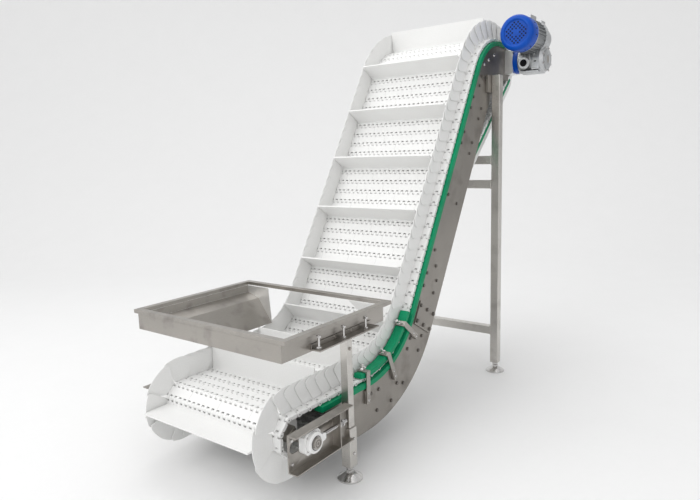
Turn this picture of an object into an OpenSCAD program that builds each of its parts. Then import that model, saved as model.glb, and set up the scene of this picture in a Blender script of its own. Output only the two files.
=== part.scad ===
// Swan-neck modular belt conveyor: a low infeed under a hopper, a concave curve, a steep incline
// and a convex head. Lengths are in millimetres. The conveyor is worked out in its own frame,
// with X along the travel from the tail shaft, Y across it from the mid-plane and Z up from the
// floor, and each part is then set down so that the origin lies under the near front foot.

/* [Belt] */
// Distance between two hinge rods
pitch = 50.8; // [50.8]
// Links round the whole loop, matched to its length
link_count = 99; // [96:1:104]
// Links from one flight to the next
flight_every = 5; // [4:1:6]
// Which of those links carries the flight
flight_phase = 3; // [0:1:4]
// Width of the belt
belt_w = 596; // [580:1:620]
// Thickness of a link over its hinge barrels
belt_t = 16; // [14:1:18]
// Height of the flights above the belt
flight_h = 100; // [60:5:110]
// Distance from the mid-plane to the side guards
guard_y = 264; // [250:1:270]
// Height of the side guards above the belt
guard_h = 92; // [60:1:100]

/* [Line] */
// Angle of the incline
incline = 59; // [50:1:62]
// Height of the belt surface at the infeed
infeed_h = 306; // [295:1:320]
// Tail shaft to the centre of the concave curve
curve_x = 393; // [380:1:430]
// Radius of the belt surface in the concave curve
curve_r = 345; // [320:5:400]
// Radius under the belt over the head
crown_r = 280; // [260:5:300]
// Height of the underside of the belt at its highest point
crown_h = 1620; // [1560:5:1680]
// How far the belt dips past its highest point before the head sprockets
head_dip = 31; // [25:1:35]
// Angle below the horizontal at which the belt leaves the head
return_dip = 42; // [40:1:48]
// Distance from the carry strand to the return strand on the incline
return_depth = 133; // [125:1:140]
// Teeth of a sprocket
teeth = 8; // [8]

/* [Frame] */
// Outer face of the side plates from the mid-plane
plate_y = 306; // [303:1:310]
// Thickness of the side plates
plate_t = 5; // [4:1:6]
// Width of the side plates across the travel
plate_w = 169; // [150:1:175]
// Height of the green wear strips
strip_h = 20; // [16:1:22]
// Leg centre from the mid-plane
leg_y = 339; // [336:1:345]
// Front legs from the tail shaft
front_leg_x = 224; // [215:1:235]
// Rear legs from the tail shaft
rear_leg_x = 1460; // [1440:1:1480]
// Side of the square leg tube
leg_tube = 40; // [36:1:44]
// Diameter of the foot plates
foot_d = 90; // [80:1:100]

/* [Hopper] */
// Top of the rim
hopper_h = 572; // [560:1:590]
// Length of the rim along the travel
hopper_l = 581; // [560:1:600]
// Rim end from the tail shaft, behind it
hopper_back = 73; // [60:1:90]
// Rim from the mid-plane on the near side
hopper_near = 339; // [330:1:345]
// Rim from the mid-plane on the far side
hopper_far = 412; // [400:1:420]

/* [Hidden] */

$fn = 96;
inf = 4000;
near_fit = 0.3;
steel = [0.55, 0.53, 0.50];
dark_steel = [0.30, 0.29, 0.28];
white_plastic = [0.93, 0.93, 0.91];
green_plastic = [0.0, 0.48, 0.30];
blue_paint = [0.05, 0.22, 0.62];
alloy = [0.66, 0.67, 0.68];

// Belt line seen from the side, as radii about the centre of the concave curve
pin_up = belt_t / 2;
curve_z = infeed_h + curve_r;
pin_r = curve_r + pin_up;
under_r = curve_r + belt_t;
plate_r = under_r + strip_h;
rear_r = plate_r + plate_w;
wheel_r = pitch / 2 / sin(180 / teeth);
wheel_flat = wheel_r * cos(180 / teeth);
tail_z = infeed_h - pin_up - wheel_flat;

// Point at radius r and angle t of the concave curve, and at a distance s up the incline
function on_curve(r, t) = [curve_x + r * sin(t), curve_z - r * cos(t)];
function on_incline(r, s) = on_curve(r, incline) + s * [cos(incline), sin(incline)];
function ray(a) = [cos(a), sin(a)];

// Crown over the head: its centre, and the place where the incline runs into it
crown_z = crown_h - crown_r;
crown_s = (crown_z - curve_z + (under_r + crown_r) * cos(incline)) / sin(incline);
crown_c = on_incline(under_r + crown_r, crown_s);
crown_pin_r = crown_r + pin_up;
head_c = crown_c + (crown_pin_r - wheel_r) * ray(90 - head_dip);

// Return strand: straight off the head, an easy bend, then parallel to the incline
return_bend_r = 450;
return_curve_r = 500;
exit_a = 180 + return_dip;
exit_p = head_c + wheel_r * ray(exit_a + 90);
return_p = on_incline(pin_r + return_depth, 0);
return_z = tail_z - wheel_flat;
function cross2(a, b) = a[0] * b[1] - a[1] * b[0];
function meet(p, a, q, b) = p + cross2(q - p, ray(b)) / cross2(ray(a), ray(b)) * ray(a);
bend_p = meet(exit_p, exit_a, return_p, incline);
bend_cut = return_bend_r * tan((incline - return_dip) / 2);
foot_p = meet(return_p, incline, [0, return_z], 0);
foot_cut = return_curve_r * tan(incline / 2);

// Each stretch is [start, heading, length, turn], with the turn positive to the left. A wheel or
// curve is counted in chords of one pitch, so that the rods land exactly a pitch apart.
function arc_step(r) = 2 * asin(pitch / 2 / r);
stretches = [
    [[-pitch / 2, infeed_h - pin_up], 0, curve_x + pitch / 2, 0, 0],
    [on_curve(pin_r, 0), 0, 0, incline, pin_r],
    [on_incline(pin_r, 0), incline, crown_s, 0, 0],
    [on_incline(pin_r, crown_s), incline, 0, -(incline + head_dip), crown_pin_r],
    [head_c + wheel_r * ray(90 - head_dip), -head_dip, 0, -(180 - head_dip - return_dip), wheel_r],
    [exit_p, exit_a, norm(bend_p - exit_p) - bend_cut, 0, 0],
    [bend_p - bend_cut * ray(exit_a), exit_a, 0, incline - return_dip, return_bend_r],
    [bend_p + bend_cut * ray(180 + incline), 180 + incline,
        norm(foot_p - bend_p) - bend_cut - foot_cut, 0, 0],
    [foot_p - foot_cut * ray(180 + incline), 180 + incline, 0, -incline, return_curve_r],
    [foot_p - [foot_cut, 0], 180, foot_p[0] - foot_cut + pitch / 2, 0, 0],
    [[-pitch / 2, return_z], 180, 0, -3 * 360 / teeth, wheel_r]
];
function units(w) = w[4] == 0 ? w[2] / pitch : abs(w[3]) / arc_step(w[4]);
function total(i) = i < 0 ? 0 : total(i - 1) + units(stretches[i]);
starts = [for (i = [0:len(stretches)]) total(i - 1)];
loop_units = starts[len(stretches)];
function which(u, i = 0) = i == len(stretches) - 1 || u < starts[i + 1] ? i : which(u, i + 1);
function along(w, f) =
    w[4] == 0 ? w[0] + f * w[2] * ray(w[1])
    : let (side = w[3] > 0 ? 90 : -90, c = w[0] + w[4] * ray(w[1] + side))
        c - w[4] * ray(w[1] + side + f * w[3]);
function place(u) = let (i = which(u), w = stretches[i]) along(w, (u - starts[i]) / units(w));
function rod(i) = place((i % link_count) * loop_units / link_count);
rods = [for (i = [0:link_count]) rod(i)];
echo(loop_units = loop_units, head = head_c, crown = crown_c);

// Helpers: a side view drawn in XZ becomes a solid from y0 to y1; a pair is mirrored
module across(y0, y1) translate([0, y1, 0]) rotate([90, 0, 0]) linear_extrude(y1 - y0) children();
module far_side() mirror([0, 1, 0]) children();
module both_sides() {
    children();
    far_side() children();
}
module set_down() translate([-front_leg_x, leg_y, 0]) children();
module block(lo, hi) translate(lo) cube(hi - lo);
module bar_x(x0, x1, y, z, d) translate([x0, y, z]) rotate([0, 90, 0]) cylinder(d = d, h = x1 - x0);
module bar_y(x, y0, y1, z, d) translate([x, y1, z]) rotate([90, 0, 0]) cylinder(d = d, h = y1 - y0);

// Side views: a ring between two radii from angle a to b, counted from straight down, and bands
// at a depth below the belt that follow the infeed, the curve or the incline
module ring(r0, r1, a, b) intersection() {
    difference() {
        circle(r1, $fn = 180);
        circle(r0, $fn = 180);
    }
    polygon([[0, 0], inf * ray(a - 90), inf * ray((a + b) / 2 - 90), inf * ray(b - 90)]);
}
module curve_ring(r0, r1, a, b) translate([curve_x, curve_z]) ring(r0, r1, a, b);
module on_slope() translate([curve_x, curve_z]) rotate(incline) children();
module incline_bar(r0, r1, s0, s1) on_slope() translate([s0, -r1]) square([s1 - s0, r1 - r0]);
module level_bar(x0, r0, r1) translate([x0, curve_z - r1]) square([curve_x - x0, r1 - r0]);

// Belt links: a barrel on one rod, a plate to the next rod and a hollow that clears its barrel
link_floor = 4;
module link(i) {
    a = rods[i % link_count];
    b = rods[i % link_count + 1];
    l = norm(b - a);
    translate(a) rotate(atan2(b[1] - a[1], b[0] - a[0])) difference() {
        union() {
            circle(pin_up);
            translate([0, -link_floor]) square([l, pin_up + link_floor]);
        }
        translate([l, 0]) circle(pin_up + near_fit);
    }
}
module links(from, to) for (i = [from:to]) across(-belt_w / 2, belt_w / 2) link(i);

// Frame of a link: its middle on the belt surface, X along the travel and Y away from the belt
module on_link(i) {
    a = rods[i % link_count];
    b = rods[i % link_count + 1];
    m = (a + b) / 2;
    translate([m[0], 0, m[1]]) rotate([0, -atan2(b[1] - a[1], b[0] - a[0]), 0])
        translate([0, 0, pin_up]) children();
}
curve_start = ceil(starts[1]);
incline_start = ceil(starts[2]);
crown_start = floor(starts[3]);
return_start = ceil(starts[5]);
return_end = floor(starts[10] * link_count / loop_units) - 1;
module belt_infeed() color(white_plastic) set_down() links(return_end + 1, link_count + incline_start - 1);
module belt_incline() color(white_plastic) set_down() links(incline_start, crown_start - 1);
module belt_head() color(white_plastic) set_down() links(crown_start, return_start - 1);
module belt_return() color(white_plastic) set_down() links(return_start, return_end);

// Flights stand on the middle of every fifth link, between the side guards
flight_gap = 7;
flight_foot = 8;
flight_foot_h = 12;
flight_tip = 3;
flight_links = concat([for (i = [flight_phase:flight_every:link_count - 5]) i], [link_count - 2]);
module flights() color(white_plastic) set_down()
    for (i = flight_links) on_link(i) across(-guard_y + flight_gap, guard_y - flight_gap)
        polygon([[-flight_foot, 0], [flight_foot, 0], [flight_tip + 1, flight_foot_h], [flight_tip, flight_h],
            [-flight_tip, flight_h], [-flight_tip - 1, flight_foot_h]]);

// Side guards: one scale a link, turned a little so that each one laps over its neighbour
guard_t = 2.5;
guard_tilt = 4.3;
guard_foot = 23;
guard_spread = 66;
guard_round = 72;
module guard() translate([0, -guard_y, 0]) rotate([0, 0, guard_tilt]) across(-guard_t / 2, guard_t / 2)
    intersection() {
        polygon([[-guard_foot, 0], [guard_foot, 0], [guard_spread, guard_h + 10], [-guard_spread, guard_h + 10]]);
        translate([0, guard_h - guard_round]) circle(guard_round);
    }
module guards() for (i = [0:link_count - 1]) on_link(i) guard();
module guards_near() color(white_plastic) set_down() guards();
module guards_far() color(white_plastic) set_down() far_side() guards();

// Sprockets on square shafts
sprocket_w = 30;
sprocket_step = 120;
shaft_side = 40;
journal_d = 35;
module sprockets(c, phase) for (k = [-2:2]) translate([0, k * sprocket_step, 0])
    across(-sprocket_w / 2, sprocket_w / 2) translate(c) rotate(phase) difference() {
        circle((wheel_flat - link_floor - near_fit) / cos(180 / teeth), $fn = teeth);
        for (k = [0:teeth - 1]) rotate(k * 360 / teeth) translate([wheel_r, 0]) circle(pin_up + near_fit);
        square(shaft_side, center = true);
    }
first_head_rod = ceil(starts[4] * link_count / loop_units);
head_rod = rods[first_head_rod] - head_c;
head_phase = atan2(head_rod[1], head_rod[0]);
module tail_sprockets() color("whitesmoke") set_down() sprockets([0, tail_z], 180 / teeth);
module head_sprockets() color("whitesmoke") set_down() sprockets(head_c, head_phase);
shaft_square = 2 * 288;
module shaft(c, phase, near, far) {
    across(-shaft_square / 2, shaft_square / 2) translate(c) rotate(phase) square(shaft_side, center = true);
    bar_y(c[0], -near, -shaft_square / 2, c[1], journal_d);
    bar_y(c[0], shaft_square / 2, far, c[1], journal_d);
}
takeup_y = 345;
bearing_t = 47;
gear_out_y = 505;
module tail_shaft() color(steel) set_down() shaft([0, tail_z], 180 / teeth, takeup_y + bearing_t, takeup_y + bearing_t);
module head_shaft() color(steel) set_down() shaft(head_c, head_phase, gear_out_y, plate_y + box_t);

// Side plates, with a splice a little way up the incline
plate_tail_x = 140;
module near_plate() across(-plate_y, plate_t - plate_y) children();
module lower_plate() near_plate() {
    level_bar(plate_tail_x, plate_r, rear_r);
    curve_ring(plate_r, rear_r, 0, incline);
}
head_joint_s = crown_s - 20;
module incline_plate() near_plate() incline_bar(plate_r, rear_r, near_fit, head_joint_s);
module lower_plate_near() color(steel) set_down() lower_plate();
module lower_plate_far() color(steel) set_down() far_side() lower_plate();
module incline_plate_near() color(steel) set_down() incline_plate();
module incline_plate_far() color(steel) set_down() far_side() incline_plate();

// Head plate: under the crown, round the head shaft and down along the return strand
head_floor_z = 1445;
head_nose_r = 60;
return_guard = 10;
guide_low_z = 1300;
module head_plate() near_plate() difference() {
    union() {
        incline_bar(plate_r, rear_r, head_joint_s, crown_s);
        intersection() {
            translate(crown_c) circle(crown_r - strip_h - near_fit, $fn = 180);
            polygon([on_incline(plate_r, crown_s - 260), on_incline(plate_r, crown_s), crown_c + [0, inf],
                crown_c + [inf, inf], [crown_c[0] + inf, head_floor_z], [on_incline(plate_r, crown_s - 260)[0], head_floor_z]]);
            translate([0, head_floor_z]) square([head_c[0], inf]);
        }
        translate(head_c) circle(head_nose_r);
    }
    incline_bar(0, inf, 0, head_joint_s + near_fit);
    translate(head_c) circle(d = journal_d + 1);
}
module head_plate_near() color(dark_steel) set_down() head_plate();
module head_plate_far() color(dark_steel) set_down() far_side() head_plate();

// Splice plates lap the joint of the two side plates on the outside
splice_t = 6;
splice_l = 100;
splice_back = 25;
module splice_plates() color(steel) set_down() both_sides() across(-plate_y - splice_t, -plate_y)
    incline_bar(plate_r + 16, rear_r - 16, -splice_back, splice_l - splice_back);

// Wear strips under the edges of the belt
strip_out = 312;
strip_in = 276;
strip_tail_x = 122;
crown_past = 12;
module carry_strip() across(-strip_out, -strip_in) {
    level_bar(strip_tail_x, under_r + near_fit, plate_r - near_fit);
    curve_ring(under_r + near_fit, plate_r - near_fit, 0, incline);
    on_slope() {
        translate([near_fit, near_fit - plate_r]) square([crown_s - near_fit, strip_h - 2 * near_fit]);
        translate([crown_s, -under_r - crown_r])
            ring(crown_r - strip_h + near_fit, crown_r - near_fit, 180 - incline - crown_past, 180);
    }
}
module carry_strip_near() color(green_plastic) set_down() carry_strip();
module carry_strip_far() color(green_plastic) set_down() far_side() carry_strip();

// Strips that carry the return strand on its outer face, beside the guards
return_strip_in = 274;
return_surface_r = pin_r + return_depth + pin_up + near_fit;
function slope_s(p) = (p - on_incline(0, 0)) * ray(incline);
module return_strips() color(green_plastic) set_down() both_sides() across(-plate_y + plate_t, -return_strip_in)
    incline_bar(return_surface_r, return_surface_r + 18, slope_s(foot_p) + foot_cut + 10, slope_s(bend_p) - bend_cut - 10);

// Hold-down shoes press the belt into the curve, each held by three clamps
shoe_t = 20;
shoe_from = 6;
shoe_to = incline + 4;
module hold_down_shoes() color(green_plastic) set_down() both_sides() across(-belt_w / 2, -guard_y - 9)
    curve_ring(curve_r - shoe_t, pin_r * cos(arc_step(pin_r) / 2) - pin_up - near_fit, shoe_from, shoe_to);
clamp_w = 22;
clamp_t = 6;
clamp_low = 60;
module clamp(t) {
    translate([curve_x, 0, curve_z]) rotate([0, -t, 0]) {
        block([-clamp_w / 2, -strip_out - clamp_t, -plate_r - clamp_low], [clamp_w / 2, -strip_out, -curve_r + shoe_t + 8]);
        block([-clamp_w / 2, -strip_out, -plate_r - clamp_low], [clamp_w / 2, -plate_y, -plate_r - 10]);
        block([-clamp_w / 2, -strip_out, -curve_r + shoe_t + near_fit], [clamp_w / 2, -guard_y - 10, -curve_r + shoe_t + 8]);
    }
}
module shoe_clamps() color(dark_steel) set_down() both_sides() for (t = [14, 32, 50]) clamp(t);

// Take-up frames: channels welded to the front legs, with a slot for the tail shaft
takeup_x = -86;
takeup_lo = 160;
takeup_hi = 284;
takeup_d = 33;
takeup_t = 4;
module takeup_frame() {
    difference() {
        block([takeup_x, -takeup_y, takeup_lo], [front_leg_x - leg_tube / 2, takeup_t - takeup_y, takeup_hi]);
        for (x = [-60, 30]) bar_y(x, -takeup_y - 1, takeup_t + 1 - takeup_y, tail_z, journal_d + 3);
        block([-60, -takeup_y - 1, tail_z - journal_d / 2 - 1.5], [30, takeup_t + 1 - takeup_y, tail_z + journal_d / 2 + 1.5]);
    }
    block([takeup_x, -takeup_y - takeup_d, takeup_hi - takeup_t], [front_leg_x - leg_tube / 2, -takeup_y, takeup_hi]);
    block([takeup_x, -takeup_y - takeup_d, takeup_lo], [front_leg_x - leg_tube / 2, -takeup_y, takeup_lo + takeup_t]);
    block([130, -takeup_y - takeup_d, takeup_lo + takeup_t], [130 + takeup_t, -takeup_y, takeup_hi - takeup_t]);
}
module takeup_frame_near() color(steel) set_down() takeup_frame();
module takeup_frame_far() color(steel) set_down() far_side() takeup_frame();
bearing_w = 88;
bearing_h = 86;
module takeup_bearing() difference() {
    union() {
        bar_y(0, -takeup_y - bearing_t, -takeup_y, tail_z, bearing_h);
        block([-bearing_w / 2, -takeup_y - bearing_t + 14, tail_z - 32], [bearing_w / 2, -takeup_y, tail_z + 32]);
    }
    bar_y(0, -takeup_y - bearing_t - 1, 1 - takeup_y, tail_z, journal_d);
}
module takeup_bearings() color("white") set_down() both_sides() takeup_bearing();
module takeup_screws() color("silver") set_down() both_sides()
    bar_x(bearing_w / 2 + near_fit, 130, -takeup_y - 20, tail_z, 14);

// Head bearings, the near one carrying the gear unit
box_t = 42;
box_w = 96;
box_h = 110;
module head_bearings() color("silver") set_down() both_sides() difference() {
    block([head_c[0] - box_w / 2, -plate_y - box_t, head_c[1] - box_h / 2],
        [head_c[0] + box_w / 2, -plate_y, head_c[1] + box_h / 2]);
    bar_y(head_c[0], -plate_y - box_t - 1, 1 - plate_y, head_c[1], journal_d);
}
ring_t = 24;
ring_d = 110;
module output_ring() color(blue_paint) set_down() difference() {
    bar_y(head_c[0], -plate_y - box_t - ring_t, -plate_y - box_t, head_c[1], ring_d);
    bar_y(head_c[0], -plate_y - box_t - ring_t - 1, 1 - plate_y - box_t, head_c[1], journal_d);
}

// Right-angle gear unit on the end of the head shaft, and its motor lying along the travel
gear_y = plate_y + box_t + ring_t;
gear_w = 128;
motor_y = gear_y + gear_w / 2;
motor_z = head_c[1] + 101;
gear_r = 66;
flange_d = 160;
motor_d = 138;
flange_x = head_c[0] - 34;
flange_t = 14;
module gearbox() color(alloy) set_down() difference() {
    union() {
        bar_y(head_c[0], -gear_y - gear_w, -gear_y, head_c[1], 2 * gear_r);
        block([head_c[0] - 20, -gear_y - gear_w, head_c[1]], [head_c[0] + gear_r, -gear_y, motor_z]);
        bar_x(flange_x + flange_t, head_c[0] + 78, -motor_y, motor_z, 120);
        bar_x(flange_x, flange_x + flange_t, -motor_y, motor_z, flange_d);
    }
    bar_x(flange_x - gear_r, flange_x, -motor_y, motor_z, motor_d + 2 * near_fit);
    bar_y(head_c[0], -gear_y - gear_w - 1, 1 - gear_y, head_c[1], journal_d);
}
cowl_d = 160;
cowl_l = 75;
cowl_x = flange_x - 205;
module motor_body() color([0.35, 0.37, 0.40]) set_down()
    bar_x(cowl_x + cowl_l, flange_x, -motor_y, motor_z, motor_d);
module motor_cowl() color(blue_paint) set_down()
    bar_x(cowl_x, cowl_x + cowl_l, -motor_y, motor_z, cowl_d);

// Hopper: a rim, plates down three sides and gussets at the open side towards the incline
rim_w = 25;
rim_t = 14;
skirt_t = 3;
skirt_h = 71;
hopper_x0 = -hopper_back;
hopper_x1 = hopper_x0 + hopper_l;
post_side = 30;
hopper_side = leg_y - post_side / 2 - near_fit;
chute_y = 247;
chute_z = 408;
chute_x1 = hopper_x1 - 34;
module hopper_rim() color(steel) set_down() difference() {
    block([hopper_x0, -hopper_near, hopper_h - rim_t], [hopper_x1, hopper_far, hopper_h]);
    block([hopper_x0 + rim_w, rim_w - hopper_near, hopper_h - rim_t - 1], [hopper_x1 - rim_w, hopper_far - rim_w, hopper_h + 1]);
}
module hopper_skirts() color(steel) set_down() {
    block([hopper_x0, -hopper_side, hopper_h - skirt_h], [hopper_x0 + skirt_t, hopper_side, hopper_h - rim_t]);
    both_sides() block([hopper_x0 + skirt_t, -hopper_side, hopper_h - skirt_h], [chute_x1, skirt_t - hopper_side, hopper_h - rim_t]);
}
module hopper_slopes() color(steel) set_down() both_sides()
    translate([hopper_x0 + skirt_t, 0, 0]) rotate([90, 0, 90]) linear_extrude(chute_x1 - hopper_x0 - skirt_t)
        polygon([[-hopper_side, hopper_h - skirt_h], [skirt_t - hopper_side, hopper_h - skirt_h],
            [skirt_t - chute_y, chute_z], [-chute_y, chute_z]]);
module hopper_gussets() color(steel) set_down() both_sides()
    translate([chute_x1, 0, 0]) rotate([90, 0, 90]) linear_extrude(skirt_t)
        polygon([[-hopper_side, hopper_h - rim_t], [-hopper_side, hopper_h - skirt_h], [-chute_y, chute_z], [-chute_y + 14, hopper_h - rim_t]]);

// Hopper brackets: an angle under each long side, standing on a post over the front leg
angle_z = 506;
angle_t = 5;
angle_w = 40;
module hopper_brackets() color(dark_steel) set_down() both_sides() {
    block([60, -hopper_side - angle_w, angle_z], [388, -hopper_side - near_fit, angle_z + angle_t]);
    block([60, -hopper_side - angle_t - near_fit, angle_z + angle_t], [388, -hopper_side - near_fit, angle_z + 20]);
}
leg_top_z = 190;
module hopper_posts() color(steel) set_down() both_sides()
    block([front_leg_x - post_side / 2, -leg_y - post_side / 2, leg_top_z], [front_leg_x + post_side / 2, -leg_y + post_side / 2, angle_z]);

// Legs, cross-bars, brackets and levelling feet
foot_h = 46;
rear_top_z = 1455;
module leg(x, z1) block([x - leg_tube / 2, -leg_y - leg_tube / 2, foot_h], [x + leg_tube / 2, -leg_y + leg_tube / 2, z1]);
module front_legs() color(steel) set_down() both_sides() leg(front_leg_x, leg_top_z);
module rear_legs() color(steel) set_down() both_sides() leg(rear_leg_x, rear_top_z);
module crossbar(z) block([rear_leg_x - leg_tube / 2, -leg_y + leg_tube / 2, z - leg_tube / 2], [rear_leg_x + leg_tube / 2, leg_y - leg_tube / 2, z + leg_tube / 2]);
module leg_crossbars() color(steel) set_down() for (z = [212, 943, 1060]) crossbar(z);
module leg_brackets() color(steel) set_down() both_sides() {
    block([front_leg_x - 20, -leg_y + leg_tube / 2, 120], [front_leg_x + 40, -plate_y, 180]);
    block([rear_leg_x - 60, -leg_y + leg_tube / 2, rear_top_z - 80], [rear_leg_x + 20, -plate_y, rear_top_z]);
}
module foot(x) translate([x, -leg_y, 0]) {
    rotate_extrude() polygon([[0, 0], [foot_d / 2, 0], [foot_d / 2, 5], [14, 24], [0, 24]]);
    translate([0, 0, 24]) cylinder(d = 16, h = foot_h - 24);
}
module feet() color("silver") set_down() both_sides() for (x = [front_leg_x, rear_leg_x]) foot(x);

// Ties between the side plates, inside the loop of the belt
tie_d = 30;
tie_r = pin_r + return_depth / 2;
module tie(p) bar_y(p[0], plate_t - plate_y, plate_y - plate_t, p[1], tie_d);
module cross_ties() color(steel) set_down() {
    tie([200, infeed_h - pin_up - wheel_flat]);
    tie(on_curve(tie_r, incline / 2));
    for (s = [200, 500, 800, 1050]) tie(on_incline(tie_r, s));
}

belt_infeed();
belt_incline();
belt_head();
belt_return();
flights();
guards_near();
guards_far();
tail_sprockets();
tail_shaft();
head_sprockets();
head_shaft();
lower_plate_near();
lower_plate_far();
incline_plate_near();
incline_plate_far();
head_plate_near();
head_plate_far();
splice_plates();
carry_strip_near();
carry_strip_far();
return_strips();
hold_down_shoes();
shoe_clamps();
takeup_frame_near();
takeup_frame_far();
takeup_bearings();
takeup_screws();
head_bearings();
gearbox();
motor_body();
motor_cowl();
output_ring();
hopper_rim();
hopper_skirts();
hopper_slopes();
hopper_gussets();
hopper_brackets();
hopper_posts();
front_legs();
rear_legs();
leg_crossbars();
leg_brackets();
feet();
cross_ties();
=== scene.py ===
import math

import bmesh
import bpy
import numpy as np
from mathutils import Matrix, Vector


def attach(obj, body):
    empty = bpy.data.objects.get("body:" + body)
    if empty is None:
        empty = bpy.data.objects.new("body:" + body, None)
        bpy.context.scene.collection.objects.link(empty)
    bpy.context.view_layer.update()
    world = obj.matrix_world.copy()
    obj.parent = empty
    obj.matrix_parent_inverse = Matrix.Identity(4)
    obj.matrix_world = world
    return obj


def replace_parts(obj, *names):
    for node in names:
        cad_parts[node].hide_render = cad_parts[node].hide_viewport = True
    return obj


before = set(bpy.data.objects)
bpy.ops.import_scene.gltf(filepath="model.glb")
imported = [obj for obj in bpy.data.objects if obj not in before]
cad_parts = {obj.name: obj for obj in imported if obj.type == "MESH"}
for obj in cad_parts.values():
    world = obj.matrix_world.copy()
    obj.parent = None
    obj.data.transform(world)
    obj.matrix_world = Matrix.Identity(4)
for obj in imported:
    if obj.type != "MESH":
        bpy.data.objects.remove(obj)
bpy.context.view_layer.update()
scene = bpy.context.scene

# The conveyor is worked out in millimetres: X along the travel from the tail shaft, Y across it
# from the mid-plane, Z up from the floor. The row's origin lies under the near front foot.
FRONT_LEG_X, REAR_LEG_X, LEG_Y = 224.0, 1460.0, 339.0


def row(p):
    return ((p[0] - FRONT_LEG_X) / 1000, (p[1] + LEG_Y) / 1000, p[2] / 1000)


# ------------------------------------------------------------------ camera
def add_camera():
    yaw, pitch, roll = (math.radians(a) for a in (36.916, -9.224, -1.741))
    forward = Vector((math.cos(yaw) * math.cos(pitch), math.sin(yaw) * math.cos(pitch), math.sin(pitch)))
    right = Vector((math.sin(yaw), -math.cos(yaw), 0))
    up = right.cross(forward)
    r2 = math.cos(roll) * right + math.sin(roll) * up
    u2 = -math.sin(roll) * right + math.cos(roll) * up
    data = bpy.data.cameras.new("camera")
    data.sensor_width = 36
    data.lens = 606.18 * 36 / 700
    data.clip_end = 50
    cam = bpy.data.objects.new("camera", data)
    cam.matrix_world = Matrix((
        (r2.x, u2.x, -forward.x, -1.5509), (r2.y, u2.y, -forward.y, -1.1942),
        (r2.z, u2.z, -forward.z, 1.1206), (0, 0, 0, 1)))
    scene.collection.objects.link(cam)
    scene.camera = cam


add_camera()


# ------------------------------------------------------------------ materials
def material(name, color, rough, metal=0.0, vary=0.05, grain=(1, 1, 1), scale=40.0, bump=0.1,
             rough_vary=0.08, dirt=None, dirt_amount=0.0, coat=0.0, aniso=0.0, specular=0.5):
    """Procedural finish: colour and roughness vary with stretched noise, and the grain is in the bump."""
    mat = bpy.data.materials.new(name)
    mat.use_nodes = True
    tree = mat.node_tree
    tree.nodes.clear()
    out = tree.nodes.new("ShaderNodeOutputMaterial")
    bsdf = tree.nodes.new("ShaderNodeBsdfPrincipled")
    tree.links.new(bsdf.outputs[0], out.inputs[0])
    bsdf.inputs["Metallic"].default_value = metal
    bsdf.inputs["Coat Weight"].default_value = coat
    bsdf.inputs["Coat Roughness"].default_value = 0.12
    bsdf.inputs["Anisotropic"].default_value = aniso
    bsdf.inputs["Specular IOR Level"].default_value = specular
    coord = tree.nodes.new("ShaderNodeTexCoord")
    mapping = tree.nodes.new("ShaderNodeMapping")
    mapping.inputs["Scale"].default_value = grain
    tree.links.new(coord.outputs["Object"], mapping.inputs["Vector"])
    fine = tree.nodes.new("ShaderNodeTexNoise")
    fine.inputs["Scale"].default_value = scale
    fine.inputs["Detail"].default_value = 6
    tree.links.new(mapping.outputs[0], fine.inputs["Vector"])
    broad = tree.nodes.new("ShaderNodeTexNoise")
    broad.inputs["Scale"].default_value = 5.0
    broad.inputs["Detail"].default_value = 3
    tree.links.new(coord.outputs["Object"], broad.inputs["Vector"])
    both = tree.nodes.new("ShaderNodeMath")
    both.operation = "ADD"
    tree.links.new(fine.outputs[0], both.inputs[0])
    tree.links.new(broad.outputs[0], both.inputs[1])
    ramp = tree.nodes.new("ShaderNodeMapRange")
    ramp.inputs["From Min"].default_value = 0.65
    ramp.inputs["From Max"].default_value = 1.35
    tree.links.new(both.outputs[0], ramp.inputs["Value"])
    mix = tree.nodes.new("ShaderNodeMix")
    mix.data_type = "RGBA"
    low = [max(c * (1 - vary), 0) for c in color] + [1]
    high = [min(c * (1 + vary), 1) for c in color] + [1]
    mix.inputs[6].default_value = low
    mix.inputs[7].default_value = high
    tree.links.new(ramp.outputs[0], mix.inputs[0])
    colour_out = mix.outputs[2]
    if dirt:
        patch = tree.nodes.new("ShaderNodeTexNoise")
        patch.inputs["Scale"].default_value = 11.0
        patch.inputs["Detail"].default_value = 8
        tree.links.new(coord.outputs["Object"], patch.inputs["Vector"])
        cut = tree.nodes.new("ShaderNodeMapRange")
        cut.inputs["From Min"].default_value = 0.52
        cut.inputs["From Max"].default_value = 0.75
        cut.inputs["To Max"].default_value = dirt_amount
        tree.links.new(patch.outputs[0], cut.inputs["Value"])
        over = tree.nodes.new("ShaderNodeMix")
        over.data_type = "RGBA"
        over.inputs[7].default_value = (*dirt, 1)
        tree.links.new(cut.outputs[0], over.inputs[0])
        tree.links.new(colour_out, over.inputs[6])
        colour_out = over.outputs[2]
    tree.links.new(colour_out, bsdf.inputs["Base Color"])
    rough_map = tree.nodes.new("ShaderNodeMapRange")
    rough_map.inputs["To Min"].default_value = max(rough - rough_vary, 0.03)
    rough_map.inputs["To Max"].default_value = min(rough + rough_vary, 1)
    tree.links.new(fine.outputs[0], rough_map.inputs["Value"])
    tree.links.new(rough_map.outputs[0], bsdf.inputs["Roughness"])
    bumper = tree.nodes.new("ShaderNodeBump")
    bumper.inputs["Strength"].default_value = bump
    bumper.inputs["Distance"].default_value = 0.0006
    tree.links.new(fine.outputs[0], bumper.inputs["Height"])
    tree.links.new(bumper.outputs[0], bsdf.inputs["Normal"])
    return mat


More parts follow.
